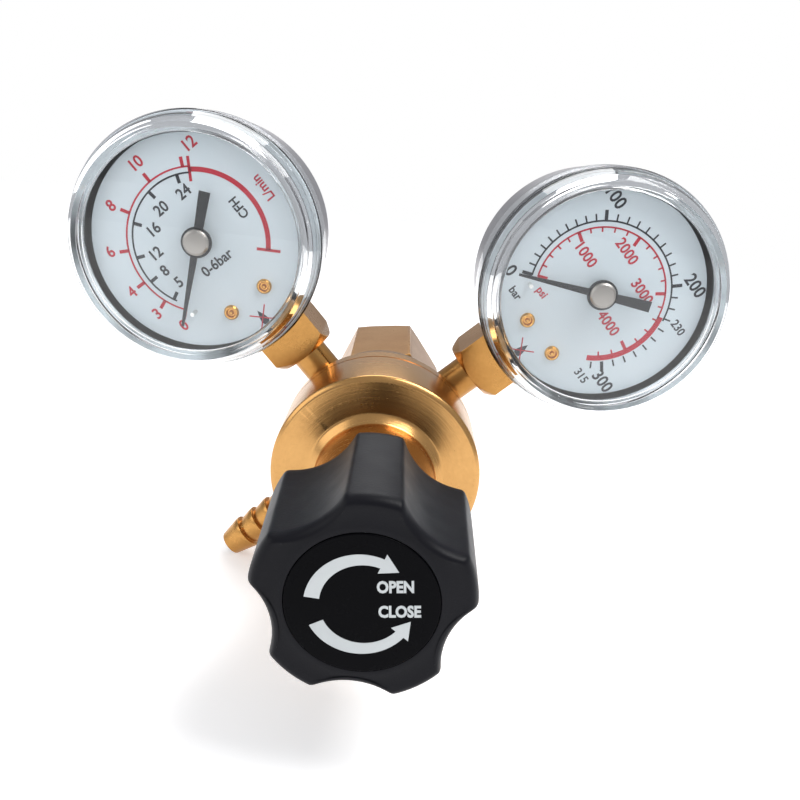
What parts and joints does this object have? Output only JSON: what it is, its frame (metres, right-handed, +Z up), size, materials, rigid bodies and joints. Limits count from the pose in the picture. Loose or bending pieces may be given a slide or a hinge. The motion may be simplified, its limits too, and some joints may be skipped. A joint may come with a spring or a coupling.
{
  "type": "carbon dioxide regulator",
  "caption": "Brass carbon dioxide pressure regulator with a black fluted knob, round dial gauges on square stems, a hose barb and a swivel inlet nut.",
  "frame": {"origin": "centre of the inlet nut's open mouth, on the main axis", "axes": "+Y out of the inlet nut's mouth towards the bottle valve, +Z up between the gauges, -Y towards the user's knob"},
  "size_m": [0.1366, 0.1298, 0.1037],
  "materials": {
    "satin_brass": "machined, satin",
    "turned_brass": "fine turned lines, lacquered",
    "movement_brass": "stamped",
    "sintered_bronze": "dull",
    "black_rubber": "matt",
    "bright_steel": "bright zinc plate",
    "spring_steel": "drawn wire",
    "white_nylon": "smooth",
    "knob_plastic": "fine moulded texture",
    "knob_label": "gloss, printed",
    "plated_steel": "grey plated, satin",
    "clear_lens": "clear moulded plastic",
    "dial_face": "white enamel, printed",
    "pointer_black": "matt"
  },
  "bodies": {
    "housing": {"body": "satin_brass", "bonnet": "turned_brass", "slip_ring": "bright_steel", "diaphragm": "black_rubber", "valve_nozzle": "satin_brass", "inlet_nipple": "satin_brass", "inlet_washer": "white_nylon", "inlet_filter": "sintered_bronze", "outlet_barb": "satin_brass", "relief_body": "satin_brass", "relief_cap": "satin_brass", "relief_spring": "spring_steel", "poppet_spring": "spring_steel", "range_spring": "spring_steel", "low_gauge_case": "plated_steel", "low_gauge_gasket": "black_rubber", "low_gauge_lens": "clear_lens", "low_gauge_dial": "dial_face", "low_gauge_dial_screws": "satin_brass", "low_gauge_stop_pin": "bright_steel", "low_gauge_socket": "satin_brass", "low_gauge_bourdon_tube": "movement_brass", "low_gauge_movement_frame": "movement_brass", "low_gauge_hairspring": "sintered_bronze", "high_gauge_case": "plated_steel", "high_gauge_gasket": "black_rubber", "high_gauge_lens": "clear_lens", "high_gauge_dial": "dial_face", "high_gauge_dial_screws": "satin_brass", "high_gauge_stop_pin": "bright_steel", "high_gauge_socket": "satin_brass", "high_gauge_bourdon_tube": "movement_brass", "high_gauge_movement_frame": "movement_brass", "high_gauge_hairspring": "sintered_bronze"},
    "inlet_nut": {"inlet_nut": "satin_brass"},
    "poppet": {"poppet": "satin_brass", "seat_disc": "white_nylon"},
    "diaphragm_plate": {"diaphragm_plate": "satin_brass"},
    "spring_carriage": {"spring_button": "bright_steel", "thrust_ball": "bright_steel"},
    "knob": {"adjusting_screw": "bright_steel", "knob": "knob_plastic", "knob_screw": "bright_steel", "knob_label": "knob_label"},
    "relief_poppet": {"relief_poppet": "satin_brass"},
    "low_pointer": {"low_gauge_pointer": "pointer_black", "low_gauge_pointer_cap": "bright_steel", "low_gauge_pinion": "movement_brass"},
    "low_sector": {"low_gauge_sector": "movement_brass"},
    "low_link": {"low_gauge_link": "movement_brass"},
    "high_pointer": {"high_gauge_pointer": "pointer_black", "high_gauge_pointer_cap": "bright_steel", "high_gauge_pinion": "movement_brass"},
    "high_sector": {"high_gauge_sector": "movement_brass"},
    "high_link": {"high_gauge_link": "movement_brass"}
  },
  "joints": [
    {"name": "nut_turn", "type": "hinge", "parent": "housing", "child": "inlet_nut", "pos_m": [0, 0, 0], "axis": [0, 1, 0], "continuous": true},
    {"name": "screw_advance", "type": "slide", "parent": "housing", "child": "spring_carriage", "axis": [0, 1, 0], "range_m": [0, 0.0068], "deforming": ["range_spring"]},
    {"name": "knob_turn", "type": "hinge", "parent": "spring_carriage", "child": "knob", "pos_m": [0, 0, 0], "axis": [0, 1, 0], "range_deg": [0, 1620]},
    {"name": "diaphragm_travel", "type": "slide", "parent": "housing", "child": "diaphragm_plate", "axis": [0, 1, 0], "range_m": [0, 0.00082], "deforming": ["diaphragm"]},
    {"name": "poppet_lift", "type": "slide", "parent": "housing", "child": "poppet", "axis": [0, 1, 0], "range_m": [0, 0.00082], "deforming": ["poppet_spring"]},
    {"name": "relief_lift", "type": "slide", "parent": "housing", "child": "relief_poppet", "axis": [0, 0, -1], "range_m": [0, 0.001], "stiffness_N_per_m": 600, "springref_m": -0.004, "deforming": ["relief_spring"]},
    {"name": "low_pointer_sweep", "type": "hinge", "parent": "housing", "child": "low_pointer", "pos_m": [-0.04229, -0.068, 0.04229], "axis": [0, 1, 0], "range_deg": [0, 270], "stiffness_Nm_per_rad": 0.0004, "springref_deg": -28.65, "deforming": ["low_gauge_hairspring"]},
    {"name": "low_sector_swing", "type": "hinge", "parent": "housing", "child": "low_sector", "pos_m": [-0.03274, -0.059, 0.03274], "axis": [0, 1, 0], "range_deg": [-33.8, 0]},
    {"name": "low_link_swing", "type": "hinge", "parent": "low_sector", "child": "low_link", "pos_m": [-0.02833, -0.061, 0.0351], "axis": [0, 1, 0], "range_deg": [0, 33.8]},
    {"name": "high_pointer_sweep", "type": "hinge", "parent": "housing", "child": "high_pointer", "pos_m": [0.04229, -0.068, 0.04229], "axis": [0, 1, 0], "range_deg": [0, 270], "stiffness_Nm_per_rad": 0.0004, "springref_deg": -28.65, "deforming": ["high_gauge_hairspring"]},
    {"name": "high_sector_swing", "type": "hinge", "parent": "housing", "child": "high_sector", "pos_m": [0.03274, -0.059, 0.03274], "axis": [0, 1, 0], "range_deg": [-33.8, 0]},
    {"name": "high_link_swing", "type": "hinge", "parent": "high_sector", "child": "high_link", "pos_m": [0.0351, -0.061, 0.02833], "axis": [0, 1, 0], "range_deg": [0, 33.8]}
  ],
  "couplings": [
    {"joint": "screw_advance", "follows": "knob_turn", "m_per_rad": 0.00023873},
    {"joint": "diaphragm_travel", "follows": "knob_turn", "m_per_rad": 0.000028294},
    {"joint": "poppet_lift", "follows": "knob_turn", "m_per_rad": 0.000028294},
    {"joint": "low_sector_swing", "follows": "low_pointer_sweep", "ratio": -0.125},
    {"joint": "low_link_swing", "follows": "low_pointer_sweep", "ratio": 0.125},
    {"joint": "high_sector_swing", "follows": "high_pointer_sweep", "ratio": -0.125},
    {"joint": "high_link_swing", "follows": "high_pointer_sweep", "ratio": 0.125}
  ]
}
